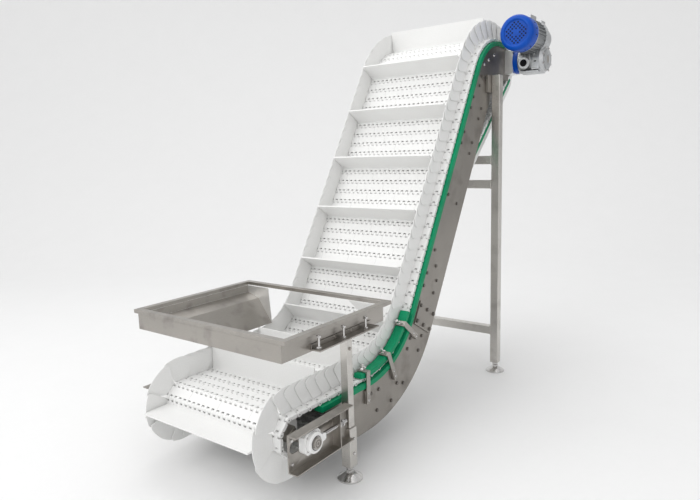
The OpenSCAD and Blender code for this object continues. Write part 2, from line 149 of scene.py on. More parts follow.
STEEL = (0.40, 0.378, 0.35)
MATERIALS = {
    "belt": material("belt_plastic", (0.82, 0.82, 0.81), 0.42, vary=0.03, scale=300, bump=0.08),
    "guard": material("guard_plastic", (0.80, 0.80, 0.79), 0.38, vary=0.03, scale=200, bump=0.05),
    "slot": material("slot_shadow", (0.25, 0.25, 0.245), 0.9, vary=0.2, specular=0.1),
    "seam": material("seam_shadow", (0.55, 0.55, 0.54), 0.7, vary=0.1, specular=0.1),
    "green": material("green_plastic", (0.0, 0.26, 0.115), 0.42, vary=0.12, specular=0.2, scale=120, bump=0.12,
                      grain=(1, 4, 1), dirt=(0.0, 0.12, 0.055), dirt_amount=0.4),
    "steel": material("brushed_steel", STEEL, 0.34, metal=1.0, vary=0.10, grain=(1, 1, 22), scale=60,
                      bump=0.16, rough_vary=0.10, dirt=(0.19, 0.175, 0.16), dirt_amount=0.7, aniso=0.4),
    "tube": material("brushed_tube", (0.60, 0.58, 0.55), 0.30, metal=1.0, vary=0.08, grain=(1, 1, 22), scale=60,
                     bump=0.12, rough_vary=0.10, dirt=(0.30, 0.28, 0.26), dirt_amount=0.5, aniso=0.4),
    "plate": material("brushed_plate", (0.32, 0.30, 0.275), 0.38, metal=1.0, vary=0.14, grain=(14, 1, 14),
                      scale=40, bump=0.14, rough_vary=0.12, dirt=(0.16, 0.145, 0.13), dirt_amount=0.6, aniso=0.3),
    "dark": material("dark_steel", (0.22, 0.205, 0.19), 0.40, metal=1.0, vary=0.15, grain=(10, 1, 10),
                     scale=50, bump=0.12, dirt=(0.10, 0.095, 0.09), dirt_amount=0.5),
    "bright": material("polished_steel", (0.62, 0.61, 0.60), 0.20, metal=1.0, vary=0.06, scale=90, bump=0.05),
    "silver": material("satin_alloy", (0.78, 0.78, 0.77), 0.38, metal=0.85, vary=0.05, scale=120, bump=0.1),
    "bearing": material("bearing_plastic", (0.80, 0.80, 0.79), 0.30, vary=0.03, scale=80, bump=0.04, coat=0.2),
    "alloy": material("cast_alloy", (0.52, 0.53, 0.54), 0.42, metal=0.9, vary=0.10, scale=260, bump=0.35,
                      dirt=(0.28, 0.28, 0.28), dirt_amount=0.5),
    "blue": material("blue_paint", (0.0, 0.07, 0.43), 0.34, vary=0.10, scale=150, bump=0.04, specular=0.22,
                     dirt=(0.004, 0.03, 0.22), dirt_amount=0.4),
    "motor": material("motor_casting", (0.30, 0.31, 0.32), 0.45, metal=0.6, vary=0.12, scale=200, bump=0.3),
    # The black finish also serves as painted shade inside the motor cowl's grille holes and vent slots.
    "black": material("black_rubber_and_hole_shade", (0.008, 0.008, 0.01), 0.6, specular=0.1, vary=0.2, scale=120, bump=0.2),
}


# ------------------------------------------------------------------ mesh building
class Build:
    """Collects closed solids, in conveyor millimetres, into one mesh."""

    def __init__(self):
        self.verts = []
        self.faces = []
        self.move = Matrix.Identity(4)

    def add(self, verts, faces):
        base = len(self.verts)
        self.verts += [tuple(self.move @ Vector(v)) for v in verts]
        self.faces += [tuple(base + i for i in f) for f in faces]

    def box(self, lo, hi):
        corners = [(x, y, z) for x in (lo[0], hi[0]) for y in (lo[1], hi[1]) for z in (lo[2], hi[2])]
        self.add(corners, [(0, 1, 3, 2), (4, 6, 7, 5), (0, 4, 5, 1), (2, 3, 7, 6), (0, 2, 6, 4), (1, 5, 7, 3)])

    def prism(self, outline, y0, y1):
        """A side view drawn in XZ, carried from y0 to y1."""
        n = len(outline)
        verts = [(x, y0, z) for x, z in outline] + [(x, y1, z) for x, z in outline]
        sides = [(i, (i + 1) % n, n + (i + 1) % n, n + i) for i in range(n)]
        self.add(verts, sides + [tuple(range(n))[::-1], tuple(range(n, 2 * n))])

    def lathe(self, profile, at, axis, n=32, turn=0.0):
        """Profile of (radius, height) turned about the axis through at; both its ends lie on the axis."""
        axis = Vector(axis).normalized()
        side = axis.orthogonal().normalized()
        other = axis.cross(side)
        at = Vector(at)
        rings = []
        verts = []
        for r, h in profile:
            if r <= 0:
                rings.append([len(verts)])
                verts.append(at + axis * h)
                continue
            rings.append(list(range(len(verts), len(verts) + n)))
            for k in range(n):
                a = turn + 2 * math.pi * k / n
                verts.append(at + axis * h + (side * math.cos(a) + other * math.sin(a)) * r)
        faces = []
        for a, b in zip(rings, rings[1:]):
            for k in range(n):
                quad = [a[k % len(a)], a[(k + 1) % len(a)], b[(k + 1) % len(b)], b[k % len(b)]]
                faces.append(tuple(dict.fromkeys(quad)))
        self.add(verts, [f for f in faces if len(f) > 2])

    def rod(self, p, q, r, n=16, cham=0.6):
        length = (Vector(q) - Vector(p)).length
        axis = Vector(q) - Vector(p)
        self.lathe([(0, 0), (r - cham, 0), (r, cham), (r, length - cham), (r - cham, length), (0, length)], p, axis, n)

    def bolt(self, at, axis, d, washer=True):
        """Hexagon head on a washer, d over the thread."""
        h = 0.0
        if washer:
            self.lathe([(0, 0), (1.1 * d, 0), (1.1 * d, 0.18 * d), (0, 0.18 * d)], at, axis, 20)
            h = 0.18 * d
        self.lathe([(0, h), (0.92 * d, h), (0.92 * d, h + 0.5 * d), (0.78 * d, h + 0.62 * d), (0, h + 0.62 * d)],
                   at, axis, 6, 0.3)

    def dome(self, at, axis, d):
        """Round button head with a socket."""
        self.lathe([(0, 0), (0.95 * d, 0), (0.9 * d, 0.22 * d), (0.6 * d, 0.48 * d), (0.32 * d, 0.55 * d),
                    (0.32 * d, 0.25 * d), (0, 0.25 * d)], at, axis, 16)

    def done(self, name, mat, bevel=0.0, smooth=True):
        mesh = bpy.data.meshes.new(name)
        mesh.from_pydata([row(v) for v in self.verts], [], self.faces)
        return finish_mesh(name, mesh, mat, bevel, smooth)


def finish_mesh(name, mesh, mat, bevel=0.0, smooth=True):
    bm = bmesh.new()
    bm.from_mesh(mesh)
    bmesh.ops.recalc_face_normals(bm, faces=bm.faces)
    bm.to_mesh(mesh)
    bm.free()
    obj = bpy.data.objects.new(name, mesh)
    scene.collection.objects.link(obj)
    mesh.materials.clear()
    mesh.materials.append(MATERIALS[mat])
    if smooth:
        mesh.shade_smooth()
        mesh.set_sharp_from_angle(angle=math.radians(32))
    if bevel:
        mod = obj.modifiers.new("edges", "BEVEL")
        mod.width = bevel / 1000
        mod.segments = 2
        mod.limit_method = "ANGLE"
        mod.angle_limit = math.radians(38)
        mod.use_clamp_overlap = True
        mod.harden_normals = smooth
    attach(obj, "root")
    return obj


def dress(node, mat, bevel):
    """A copy of a CAD node with eased edges stands for it."""
    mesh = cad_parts[node].data.copy()
    bm = bmesh.new()
    bm.from_mesh(mesh)
    bmesh.ops.remove_doubles(bm, verts=bm.verts, dist=2e-6)
    bmesh.ops.dissolve_limit(bm, angle_limit=math.radians(0.6), verts=bm.verts, edges=bm.edges)
    bm.to_mesh(mesh)
    bm.free()
    obj = finish_mesh(node + "_finish", mesh, mat, bevel)
    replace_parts(obj, node)
    return obj


# ------------------------------------------------------------------ belt line
PITCH, LINKS, FLIGHT_EVERY, FLIGHT_PHASE = 50.8, 99, 5, 3
BELT_W, BELT_T, GUARD_Y, GUARD_H = 596.0, 16.0, 264.0, 92.0
INCLINE, INFEED_H, CURVE_X, CURVE_R = 59.0, 306.0, 393.0, 345.0
CROWN_R, CROWN_H, HEAD_DIP, RETURN_DIP, RETURN_DEPTH, TEETH = 280.0, 1620.0, 31.0, 42.0, 133.0, 8
BEND_R, FOOT_R = 450.0, 500.0
PIN_UP = BELT_T / 2
CURVE_Z = INFEED_H + CURVE_R
UNDER_R = CURVE_R + BELT_T
STRIP_H, PLATE_W, PLATE_Y = 20.0, 169.0, 306.0
PLATE_R = UNDER_R + STRIP_H
REAR_R = PLATE_R + PLATE_W


def ray(a):
    return np.array([math.cos(math.radians(a)), math.sin(math.radians(a))])


def on_curve(r, t):
    return np.array([CURVE_X + r * math.sin(math.radians(t)), CURVE_Z - r * math.cos(math.radians(t))])


def on_incline(r, s):
    return on_curve(r, INCLINE) + s * ray(INCLINE)


def meet(p, a, q, b):
    u, v, w = ray(a), ray(b), q - p
    return p + (w[0] * v[1] - w[1] * v[0]) / (u[0] * v[1] - u[1] * v[0]) * u


def belt_line():
    """The rods' places round the loop, with the crown's centre and the head and tail shafts."""
    pin_r = CURVE_R + PIN_UP
    wheel = PITCH / 2 / math.sin(math.pi / TEETH)
    flat = wheel * math.cos(math.pi / TEETH)
    tail_z = INFEED_H - PIN_UP - flat
    rise = CROWN_H - CROWN_R - CURVE_Z + (UNDER_R + CROWN_R) * math.cos(math.radians(INCLINE))
    crown_s = rise / math.sin(math.radians(INCLINE))
    crown = on_incline(UNDER_R + CROWN_R, crown_s)
    crown_pin = CROWN_R + PIN_UP
    head = crown + (crown_pin - wheel) * ray(90 - HEAD_DIP)
    out = 180 + RETURN_DIP
    leave = head + wheel * ray(out + 90)
    back = on_incline(pin_r + RETURN_DEPTH, 0)
    bend = meet(leave, out, back, INCLINE)
    bend_cut = BEND_R * math.tan(math.radians((INCLINE - RETURN_DIP) / 2))
    foot = meet(back, INCLINE, np.array([0, tail_z - flat]), 0)
    foot_cut = FOOT_R * math.tan(math.radians(INCLINE / 2))
    down = ray(180 + INCLINE)
    parts = [
        (np.array([-PITCH / 2, INFEED_H - PIN_UP]), 0, CURVE_X + PITCH / 2, 0, 0),
        (on_curve(pin_r, 0), 0, 0, INCLINE, pin_r),
        (on_incline(pin_r, 0), INCLINE, crown_s, 0, 0),
        (on_incline(pin_r, crown_s), INCLINE, 0, -(INCLINE + HEAD_DIP), crown_pin),
        (head + wheel * ray(90 - HEAD_DIP), -HEAD_DIP, 0, -(180 - HEAD_DIP - RETURN_DIP), wheel),
        (leave, out, np.linalg.norm(bend - leave) - bend_cut, 0, 0),
        (bend - bend_cut * ray(out), out, 0, INCLINE - RETURN_DIP, BEND_R),
        (bend + bend_cut * down, 180 + INCLINE, np.linalg.norm(foot - bend) - bend_cut - foot_cut, 0, 0),
        (foot - foot_cut * down, 180 + INCLINE, 0, -INCLINE, FOOT_R),
        (foot - np.array([foot_cut, 0]), 180, foot[0] - foot_cut + PITCH / 2, 0, 0),
        (np.array([-PITCH / 2, tail_z - flat]), 180 - 180 / TEETH, 0, -3 * 360 / TEETH, wheel),
    ]
    units = [w[2] / PITCH if w[4] == 0 else abs(w[3]) / (2 * math.degrees(math.asin(PITCH / 2 / w[4]))) for w in parts]
    starts = np.concatenate([[0], np.cumsum(units)])

    def place(u):
        i = min(int(np.searchsorted(starts, u, side="right")) - 1, len(parts) - 1)
        p, heading, length, turn, r = parts[i]
        f = (u - starts[i]) / units[i]
        if r == 0:
            return p + f * length * ray(heading)
        side = 90 if turn > 0 else -90
        return p + r * ray(heading + side) - r * ray(heading + side + f * turn)

    rods = [place((i % LINKS) * starts[-1] / LINKS) for i in range(LINKS + 1)]
    return rods, crown, head, np.array([0, tail_z]), crown_s, starts


RODS, CROWN, HEAD, TAIL, CROWN_S, STARTS = belt_line()
HEAD_X, HEAD_Z = HEAD
TAIL_Z = TAIL[1]


def link_frame(i, middle=False):
    """X along the link, Y across the conveyor, Z out of the belt; from the rod, or from the top of the middle."""
    a, b = RODS[i % LINKS], RODS[i % LINKS + 1]
    turn = math.atan2(b[1] - a[1], b[0] - a[0])
    p = (a + b) / 2 if middle else a
    m = Matrix.Translation((p[0], 0, p[1])) @ Matrix.Rotation(-turn, 4, "Y")
    return m @ Matrix.Translation((0, 0, PIN_UP)) if middle else m


# ------------------------------------------------------------------ belt links
FINGERS = 24
CELL = BELT_W / FINGERS


def link_solids():
    """One link: a plate between two rows of hinge fingers that mesh with the next link's."""
    b = Build()
    plate_from, plate_to = 9.9, PITCH - 9.9
    half = BELT_W / 2
    b.box((plate_from, -half, 1.5), (plate_to, half, PIN_UP))
    b.box((plate_from + 3, -half, -4), (plate_to - 3, half, 1.5))
    arc = [(PIN_UP * math.sin(math.radians(a)), PIN_UP * math.cos(math.radians(a))) for a in range(0, 181, 30)]
    for k in range(FINGERS):
        y0 = -half + k * CELL
        rear = [(plate_from, PIN_UP)] + [(-x, z) for x, z in arc] + [(5, -6.5), (plate_from, -3)]
        b.prism(rear, y0 + 0.35, y0 + CELL / 2 - 0.35)
        front = [(plate_to, PIN_UP)] + [(PITCH + x, z) for x, z in arc] + [(PITCH - 5, -6.5), (plate_to, -3)]
        b.prism(front, y0 + CELL / 2 + 0.35, y0 + CELL - 0.35)
    return b


def belt_piece(name, first, last, nodes):
    one = link_solids()
    verts = np.array(one.verts)
    b = Build()
    for i in range(first, last + 1):
        m = np.array(link_frame(i))
        base = len(b.verts)
        b.verts += [tuple(v) for v in verts @ m[:3, :3].T + m[:3, 3]]
        b.faces += [tuple(base + k for k in f) for f in one.faces]
    obj = b.done(name, "belt", smooth=False)
    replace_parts(obj, *nodes)


UNITS = STARTS[-1]
incline_start, crown_start, return_start = math.ceil(STARTS[2]), math.floor(STARTS[3]), math.ceil(STARTS[5])
return_end = math.floor(STARTS[10] * LINKS / UNITS) - 1
belt_piece("belt_infeed_links", return_end + 1, LINKS + incline_start - 1, ["belt_infeed"])
belt_piece("belt_incline_links", incline_start, crown_start - 1, ["belt_incline"])
belt_piece("belt_head_links", crown_start, return_start - 1, ["belt_head"])
belt_piece("belt_return_links", return_start, return_end, ["belt_return"])


def belt_marks():
    """Brick-laid module seams, drain slots beside each hinge, and the rod ends in the belt's edges."""
    seams, slots, rods = Build(), Build(), Build()
    module = BELT_W / 4
    for i in range(LINKS):
        seams.move = link_frame(i)
        slots.move = seams.move
        shift = module / 2 if i % 2 else 0
        y = -BELT_W / 2 + shift
        while y < BELT_W / 2 - 1:
            if y > -BELT_W / 2 + 1:
                seams.box((10.2, y - 0.35, PIN_UP - 0.5), (PITCH - 10.2, y + 0.35, PIN_UP + 0.1))
            y += module
        for k in range(FINGERS):
            for x, off in ((8.9, 0.75), (PITCH - 8.9, 0.25)):
                y = -BELT_W / 2 + (k + off) * CELL
                slots.box((x - 1.05, y - 2.0, PIN_UP - 0.6), (x + 1.05, y + 2.0, PIN_UP + 0.1))
        rods.move = seams.move
        for side in (-1, 1):
            rods.lathe([(0, -3), (2.6, -3), (2.6, 0.2), (2.0, 0.5), (0, 0.5)], (0, side * BELT_W / 2, 0), (0, side, 0), 12)
    seams.done("belt_seams", "seam", smooth=False)
    slots.done("belt_slots", "slot", smooth=False)
    rods.done("belt_rod_ends", "slot")


belt_marks()


# ------------------------------------------------------------------ flights and side guards
def flights():
    b = Build()
    half = GUARD_Y - 7
    carried = list(range(FLIGHT_PHASE, LINKS - 4, FLIGHT_EVERY)) + [LINKS - 2]
    for i in carried:
        b.move = link_frame(i, middle=True)
        b.prism([(-8, 0), (8, 0), (5.5, 4), (4, 12), (3, 100), (-3, 100), (-4, 12), (-5.5, 4)], -half, half)
        for k in range(-1, 2):
            b.box((-3.35, k * half / 2 - 0.5, 14), (3.35, k * half / 2 + 0.5, 99.5))
    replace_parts(b.done("flight_plates", "guard", 1.0), "flights")


def guards(name, side, node):
    """One scale a link, its rim a circle about the tail shaft, turned so that it laps over the next."""
    b = Build()
    flat_r = PITCH / 2 / math.tan(math.pi / TEETH) + PIN_UP
    rim = flat_r + GUARD_H - 4
    spread, corner = 25.5, 4.5
    outline = [(-24, 0.2)]
    foot = [(24, 0.2)]
    arc = []
    for k in range(13):
        a = -spread + corner + k * (2 * spread - 2 * corner) / 12
        arc.append((rim * math.sin(math.radians(a)), rim * math.cos(math.radians(a)) - flat_r))
    low = rim - 14
    left = (low * math.sin(math.radians(-spread)), low * math.cos(math.radians(spread)) - flat_r)
    mid = ((rim - 3.5) * math.sin(math.radians(-spread + 1.2)), (rim - 3.5) * math.cos(math.radians(spread - 1.2)) - flat_r)
    outline += [left, mid] + arc + [(-mid[0], mid[1]), (-left[0], left[1])] + foot
    for i in range(LINKS):
        lean = Matrix.Translation((0, side * GUARD_Y, 0)) @ Matrix.Rotation(math.radians(-side * 4.3), 4, "Z")
        b.move = link_frame(i, middle=True) @ lean
        b.prism(outline, -1.25, 1.25)
    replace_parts(b.done(name, "guard", 0.7), node)


flights()
guards("guard_scales_near", -1, "guards_near")
guards("guard_scales_far", 1, "guards_far")

# ------------------------------------------------------------------ eased CAD pieces
for node, mat, bevel in (
        ("tail_sprockets", "bearing", 1.0), ("head_sprockets", "bearing", 1.0),
        ("tail_shaft", "steel", 0.8), ("head_shaft", "steel", 0.8),
        ("lower_plate_near", "plate", 0.6), ("lower_plate_far", "plate", 0.6),
        ("incline_plate_near", "plate", 0.6), ("incline_plate_far", "plate", 0.6),
        ("head_plate_near", "dark", 0.6), ("head_plate_far", "dark", 0.6), ("splice_plates", "plate", 0.8),
        ("carry_strip_near", "green", 1.0), ("carry_strip_far", "green", 1.0), ("return_strips", "green", 1.0),
        ("takeup_frame_near", "steel", 0.8), ("takeup_frame_far", "steel", 0.8),
        ("takeup_screws", "bright", 0.5),
        ("head_bearings", "silver", 3.0), ("motor_body", "motor", 1.0),
        ("output_ring", "blue", 1.5),
        ("hopper_rim", "steel", 1.0), ("hopper_posts", "tube", 2.0),
        ("front_legs", "tube", 3.0), ("rear_legs", "tube", 3.0), ("leg_crossbars", "tube", 3.0),
        ("leg_brackets", "plate", 1.0), ("feet", "bright", 0.8), ("cross_ties", "steel", 0.8)):
    dress(node, mat, bevel)


# ------------------------------------------------------------------ motor and gear unit
def motor():
    gear_y = PLATE_Y + 42 + 24
    y = -(gear_y + 64)
    z = HEAD_Z + 101
    flange_x = HEAD_X - 34
    x0 = flange_x - 205
    cowl = Build()
    cowl.lathe([(0, 7), (54, 7), (55, 6), (55, 3), (57, 1.2), (61, 0), (66, 0.8), (72, 4), (77, 10), (80, 18), (80, 64),
                (78.5, 65), (78.5, 68), (80, 69), (80, 75), (0, 75)], (x0, y, z), (1, 0, 0), 72)
    cowl.lathe([(0, 5.5), (9, 5.5), (9, 7.5), (0, 7.5)], (x0, y, z), (1, 0, 0), 32)
    obj = cowl.done("motor_cowl_shell", "blue")
    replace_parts(obj, "motor_cowl")
    # The grille's holes and the rim's vent slots are not cut: black squares on the face and black bars on the rim are
    # painted shade inside them.
    grille = Build()
    step = 12.6
    for i in range(-5, 6):
        for j in range(-5, 6):
            u, v = (i - j) * step * 0.7071, (i + j) * step * 0.7071
            if 13 < math.hypot(u, v) < 49:
                grille.lathe([(0, 6.6), (4.9, 6.6), (4.9, 7.6), (0, 7.6)], (x0, y + u, z + v), (1, 0, 0), 4, 0.0)
    for k in range(18):
        a = 2 * math.pi * k / 18
        if k % 6:
            grille.move = Matrix.Translation((x0 + 52, y, z)) @ Matrix.Rotation(a, 4, "X")
            grille.box((-8, -2, 79.2), (8, 2, 80.2))
    grille.done("cowl_grille_hole_shade", "black", smooth=False)
    fins = Build()
    for k in range(28):
        a = 2 * math.pi * k / 28
        fins.move = Matrix.Translation((x0 + 75, y, z)) @ Matrix.Rotation(a, 4, "X")
        fins.box((2, -1.4, 66), (205 - 75 - 6, 1.4, 78))
    fins.done("motor_fins", "motor", 0.6)
    ends = Build()
    for dx in (0, 118):
        ends.lathe([(0, 0), (76, 0), (79, 2), (79, 8), (76, 11), (0, 11)], (x0 + 76 + dx, y, z), (1, 0, 0), 64)
    ends.box((x0 + 95, y - 34, z + 60), (x0 + 170, y + 34, z + 88))
    ends.done("motor_end_rings", "alloy", 1.0)
    bits = Build()
    for k in range(4):
        a = math.radians(45 + 90 * k)
        at = (flange_x, y + 70 * math.cos(a), z + 70 * math.sin(a))
        bits.bolt(at, (-1, 0, 0), 8)
    for k in range(8):
        a = math.radians(22.5 + 45 * k)
        at = (HEAD_X + 55 * math.cos(a), -gear_y - 128, HEAD_Z + 55 * math.sin(a))
        bits.bolt(at, (0, -1, 0), 5)
    for dx in (-27, 27):
        for dy in (-26, 26):
            bits.bolt((x0 + 132 + dx, y + dy, z + 88), (0, 0, 1), 4, washer=False)
    bits.done("gear_unit_bolts", "bright")
    cover = Build()
    cover.lathe([(18, -1), (46, -1), (46, 5), (40, 8), (24, 8), (22, 3), (18, 3), (18, -1)], (HEAD_X, -gear_y - 128, HEAD_Z),
                (0, -1, 0), 48)
    cover.lathe([(0, 0), (30, 0), (30, 5), (26, 8), (0, 8)], (HEAD_X + 78, y, z), (1, 0, 0), 32)
    cover.done("gear_unit_covers", "alloy", 0.6)
    gear = Build()
    gear.lathe([(0, 0), (54, 0), (56, 2), (56, 10), (63, 13), (63, 30), (57, 33), (57, 74), (64, 78), (64, 112), (60, 116),
                (54, 128), (0, 128)], (HEAD_X, -gear_y, HEAD_Z), (0, -1, 0), 56)
    gear.lathe([(0, 0), (80, 0), (80, 12), (76, 14), (0, 14)], (flange_x, y, z), (1, 0, 0), 64)
    gear.lathe([(0, 14), (62, 14), (58, 20), (56, 44), (60, 50), (60, 104), (54, 110), (34, 112), (0, 112)],
               (flange_x, y, z), (1, 0, 0), 56)
    gear.prism([(HEAD_X - 22, HEAD_Z + 10), (HEAD_X + 64, HEAD_Z + 10), (HEAD_X + 66, HEAD_Z + 84), (HEAD_X + 50, HEAD_Z + 100),
                (HEAD_X - 14, HEAD_Z + 100)], y - 50, y + 50)
    for k in range(12):
        gear.move = Matrix.Translation((flange_x + 13, y, z)) @ Matrix.Rotation(math.radians(30 * k + 15), 4, "X")
        gear.box((0, -3, 48), (30, 3, 71))
    gear.move = Matrix.Identity(4)
    for dy in (20, 42, 64, 86):
        gear.box((HEAD_X - 62, -gear_y - dy - 2, HEAD_Z - 16), (HEAD_X - 50, -gear_y - dy + 2, HEAD_Z + 52))
        gear.box((HEAD_X + 50, -gear_y - dy - 2, HEAD_Z - 30), (HEAD_X + 65, -gear_y - dy + 2, HEAD_Z + 60))
    gear.lathe([(0, 0), (30, 0), (30, 16), (26, 19), (0, 19)], (HEAD_X - 46, -gear_y - 36, HEAD_Z - 14), (-1, 0, 0), 40)
    gear.box((HEAD_X - 62, -gear_y - 110, HEAD_Z - 48), (HEAD_X - 30, -gear_y - 74, HEAD_Z + 4))
    gear.box((HEAD_X - 50, -gear_y - 104, HEAD_Z - 60), (HEAD_X + 50, -gear_y - 10, HEAD_Z - 50))
    gear.box((HEAD_X + 12, y - 30, z + 44), (HEAD_X + 64, y + 26, z + 84))
    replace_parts(gear.done("gear_unit_case", "alloy", 2.5), "gearbox")
    dark = Build()
    dark.lathe([(0, 0), (24, 0), (24, 3), (0, 3)], (HEAD_X, -gear_y - 127, HEAD_Z), (0, -1, 0), 40)
    dark.lathe([(0, 0), (17, 0), (17, 1.5), (0, 1.5)], (HEAD_X - 64.5, -gear_y - 36, HEAD_Z - 14), (-1, 0, 0), 32)
    dark.lathe([(0, 0), (6, 0), (6, 2), (0, 2)], (HEAD_X - 61.5, -gear_y - 92, HEAD_Z - 8), (-1, 0, 0), 16)
    dark.box((HEAD_X + 66, y + 4, z + 20), (HEAD_X + 74, y + 20, z + 76))
    dark.done("gear_unit_seals", "black", 0.6)


motor()


# ------------------------------------------------------------------ fasteners of the side plates
def plate_bolts():
    b, heads = Build(), Build()
    for side in (-1, 1):
        face = side * PLATE_Y
        out = (0, side, 0)

        def at(p, y=face):
            return (p[0], y, p[1])
        for s in (840, 1022):
            for r in (PLATE_R + 14, REAR_R - 62):
                for ds in (-28, 28):
                    b.bolt(at(on_incline(r, s + ds)), out, 7)
        for s in (120, 176):
            for r in (PLATE_R + 16, REAR_R - 60):
                b.bolt(at(on_incline(r, s + 20)), out, 7)
        for s, r in ((305, 411), (249, 454), (560, 400), (560, 490)):
            b.bolt(at(on_incline(r, s)), out, 7)
        splice = side * (PLATE_Y + 6)
        for s in (-8, 58):
            for r in (REAR_R - 142, REAR_R - 84, REAR_R - 26):
                b.bolt(at(on_incline(r, s), splice), out, 8)
        for t, r in ((47, 409), (53, 487), (41, 420), (46, 500), (24, 474), (28, 506), (9, 420), (2, 414), (17, 512), (6, 496)):
            b.bolt(at(on_curve(r, t)), out, 7)
        for s, r in ((CROWN_S + 150, 478), (CROWN_S + 95, 440), (CROWN_S + 50, 412)):
            heads.dome(at(on_incline(r, s)), out, 9)
        for s in (CROWN_S - 10, CROWN_S - 60):
            b.bolt(at(on_incline(PLATE_R + 40, s)), out, 7)
    b.done("plate_bolts", "dark")
    heads.done("head_plate_bolts", "bright")


plate_bolts()


SHOE_FROM, SHOE_TO, CLAMPS = -7, 60, (-2, 23, 50)
SHOE_T, STRIP_OUT, CLAMP_T, CLAMP_W = 20, 312, 6, 22


def shoes():
    """Hold-down shoes over the belt's edges in the hollow curve, and the straps that carry them."""
    shoe, clamps = Build(), Build()
    turns = np.linspace(SHOE_FROM, SHOE_TO, 33)
    for side in (-1, 1):
        lo, hi = sorted((side * (GUARD_Y + 8), side * (PLATE_Y + 3)))
        top = [on_curve(CURVE_R - SHOE_T, t) for t in turns]
        foot = [on_curve(CURVE_R - 1.5, t) for t in turns]
        outline = [tuple(p) for p in top] + [tuple(p) for p in foot[::-1]]
        n = len(turns)
        verts = [(x, y, z) for y in (lo, hi) for x, z in outline]
        m = 2 * n
        faces = [(i, (i + 1) % m, m + (i + 1) % m, m + i) for i in range(m)]
        for base in (0, m):
            faces += [(base + i, base + i + 1, base + m - 2 - i, base + m - 1 - i) for i in range(n - 1)]
        shoe.add(verts, faces)
        for t in CLAMPS:
            c = on_curve(0, t)
            clamps.move = Matrix.Translation((c[0], 0, c[1])) @ Matrix.Rotation(math.radians(-t), 4, "Y")
            half, low, high = CLAMP_W / 2, -PLATE_R - 60, -CURVE_R + SHOE_T + 8
            out, inn = side * (STRIP_OUT + CLAMP_T), side * STRIP_OUT
            lo, hi = sorted((out, inn))
            clamps.box((-half, lo, low), (half, hi, high))
            lo, hi = sorted((inn, side * PLATE_Y))
            clamps.box((-half, lo, low), (half, hi, -PLATE_R - 10))
            lo, hi = sorted((inn, side * (GUARD_Y + 10)))
            clamps.box((-half, lo, -CURVE_R + SHOE_T + 0.5), (half, hi, high))
    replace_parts(shoe.done("shoe_bars", "green", 2.0), "hold_down_shoes")
    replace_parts(clamps.done("shoe_straps", "steel", 1.2), "shoe_clamps")


shoes()


def clamp_fasteners():
    b = Build()
    strip_out, shoe_t, clamp_t = STRIP_OUT, SHOE_T, CLAMP_T
    for side in (-1, 1):
        for t in CLAMPS:
            for r in (PLATE_R + 20, PLATE_R + 46):
                p = on_curve(r, t)
                b.dome((p[0], side * (strip_out + clamp_t), p[1]), (0, side, 0), 6)
            p, q = on_curve(CURVE_R - shoe_t - 8, t), on_curve(CURVE_R - shoe_t - 30, t)
            y = side * 290
            b.rod((p[0], y, p[1]), (q[0], y, q[1]), 5.5, 16)
            n = on_curve(CURVE_R - shoe_t - 19, t)
            b.lathe([(0, -5), (10, -5), (10, 4), (8, 6), (0, 6)], (p[0], y, p[1]), (q[0] - p[0], 0, q[1] - p[1]), 6)
            b.rod((n[0], y - side * 14, n[1]), (n[0], y + side * 14, n[1]), 3.6, 12)
    b.done("clamp_fasteners", "bright")


clamp_fasteners()


def return_guides():
    """Curved strips that turn the belt's edges from the head down to the straight return strips."""
    b = Build()
    first = math.ceil(STARTS[4]) + 2
    line = []
    for i in range(first, first + 15):
        p, q = RODS[i % LINKS], RODS[(i + 1) % LINKS]
        d = (q - p) / np.linalg.norm(q - p)
        line.append(((p + q) / 2, np.array([-d[1], d[0]])))
    inner = [tuple(m + n * (PIN_UP + 0.6)) for m, n in line]
    outer = [tuple(m + n * (PIN_UP + 13)) for m, n in line]
    for (a0, a1), (b0, b1) in zip(zip(inner, inner[1:]), zip(outer, outer[1:])):
        for side in (-1, 1):
            lo, hi = sorted((side * 301, side * 274))
            b.prism([a0, a1, b1, b0], lo, hi)
    b.done("return_guides", "green")


return_guides()


